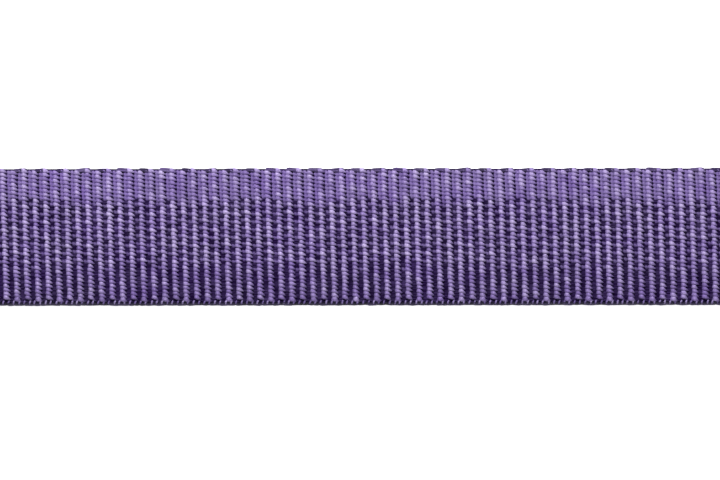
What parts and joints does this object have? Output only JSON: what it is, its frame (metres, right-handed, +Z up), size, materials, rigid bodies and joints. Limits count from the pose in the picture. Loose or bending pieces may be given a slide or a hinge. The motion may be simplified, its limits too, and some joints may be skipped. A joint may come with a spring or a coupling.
{
  "type": "flat web sling",
  "caption": "Flat woven lifting sling: ribbed purple webbing folded back and sewn into a sleeved soft eye at each end, with a blank label on one splice.",
  "frame": {"origin": "middle of the underside, on the surface that the sling lies on at full length", "axes": "+X along the sling towards the right eye, +Y across the webbing away from its locking-thread edge, +Z up out of the webbing's face"},
  "size_m": [0.6526, 0.0338, 0.0386],
  "materials": {
    "webbing": "satin",
    "locking_thread": "satin",
    "sewing_thread": "satin",
    "sleeve": "matte",
    "label": "satin",
    "label_thread": "satin"
  },
  "bodies": {
    "left_span": {"left_span": "webbing", "left_span_locking_thread": "locking_thread"},
    "right_span": {"right_span": "webbing", "right_span_locking_thread": "locking_thread"},
    "label_flap": {"label_flap": "label"},
    "left_splice": {"left_body_ply": "webbing", "left_body_locking_thread": "locking_thread", "left_tail_ply": "webbing", "left_tail_locking_thread": "locking_thread", "left_needle_thread": "sewing_thread", "left_bobbin_thread": "sewing_thread", "label_tab": "label", "label_thread": "label_thread"},
    "left_eye": {"left_eye_web": "webbing", "left_eye_locking_thread": "locking_thread", "left_eye_sleeve": "sleeve", "left_sleeve_tacks": "sewing_thread"},
    "right_splice": {"right_body_ply": "webbing", "right_body_locking_thread": "locking_thread", "right_tail_ply": "webbing", "right_tail_locking_thread": "locking_thread", "right_needle_thread": "sewing_thread", "right_bobbin_thread": "sewing_thread"},
    "right_eye": {"right_eye_web": "webbing", "right_eye_locking_thread": "locking_thread", "right_eye_sleeve": "sleeve", "right_sleeve_tacks": "sewing_thread"}
  },
  "joints": [
    {"name": "middle_fold", "type": "hinge", "parent": "left_span", "child": "right_span", "pos_m": [0, 0, 0.00125], "axis": [0, 1, 0], "range_deg": [-135, 135]},
    {"name": "left_splice_bend", "type": "hinge", "parent": "left_span", "child": "left_splice", "pos_m": [-0.095, 0, 0.00125], "axis": [0, 1, 0], "range_deg": [-135, 135]},
    {"name": "right_splice_bend", "type": "hinge", "parent": "right_span", "child": "right_splice", "pos_m": [0.095, 0, 0.00125], "axis": [0, -1, 0], "range_deg": [-135, 135]},
    {"name": "left_eye_swing", "type": "hinge", "parent": "left_splice", "child": "left_eye", "pos_m": [-0.2, 0, 0.0025], "axis": [0, -1, 0], "range_deg": [-135, 135]},
    {"name": "right_eye_swing", "type": "hinge", "parent": "right_splice", "child": "right_eye", "pos_m": [0.2, 0, 0.0025], "axis": [0, 1, 0], "range_deg": [-135, 135]},
    {"name": "label_lift", "type": "hinge", "parent": "left_splice", "child": "label_flap", "pos_m": [-0.172, 0, 0.0059], "axis": [0, -1, 0], "range_deg": [0, 150]}
  ]
}
